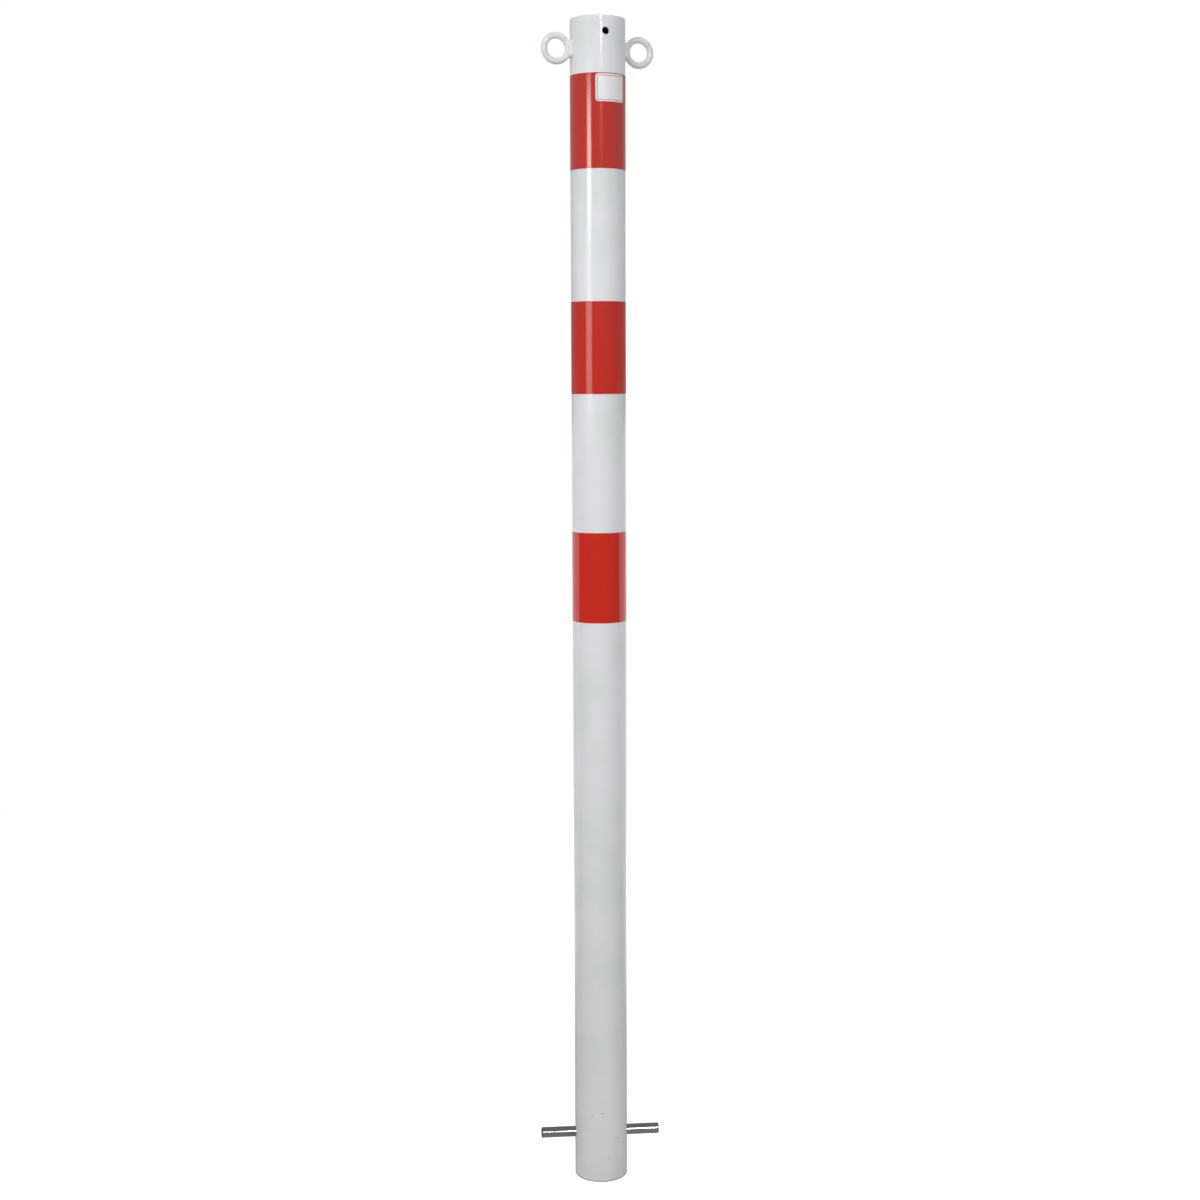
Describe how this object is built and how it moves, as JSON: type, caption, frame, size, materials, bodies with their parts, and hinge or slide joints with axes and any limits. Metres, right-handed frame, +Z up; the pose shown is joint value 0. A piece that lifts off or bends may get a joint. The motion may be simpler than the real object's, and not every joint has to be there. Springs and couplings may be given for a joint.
{
  "type": "fixed bollard",
  "caption": "Slim round steel bollard, white with red bands, welded chain eyes at its closed head and a loose anchor rod through the foot for setting in concrete.",
  "frame": {"origin": "centre of the foot's end face, on the tube's axis, at the bottom of the buried length", "axes": "+Z up along the tube's axis; the chain eyes stand in line along X; -Y is the front, where the vent hole and the blank label are"},
  "size_m": [0.1346, 0.0608, 1.3],
  "materials": {
    "white_coat": "gloss white powder coat on steel",
    "red_film": "glossy red reflective film with a fine cell pattern",
    "label_film": "glossy blank white label",
    "rod_steel": "bright drawn steel, uncoated"
  },
  "bodies": {
    "root": {"post_tube": "white_coat", "head_plate": "white_coat", "head_weld": "white_coat", "chain_eye_left": "white_coat", "chain_eye_right": "white_coat", "eye_weld_left": "white_coat", "eye_weld_right": "white_coat", "red_band_top": "red_film", "red_band_middle": "red_film", "red_band_bottom": "red_film", "blank_label": "label_film", "anchor_rod": "rod_steel"}
  },
  "joints": []
}
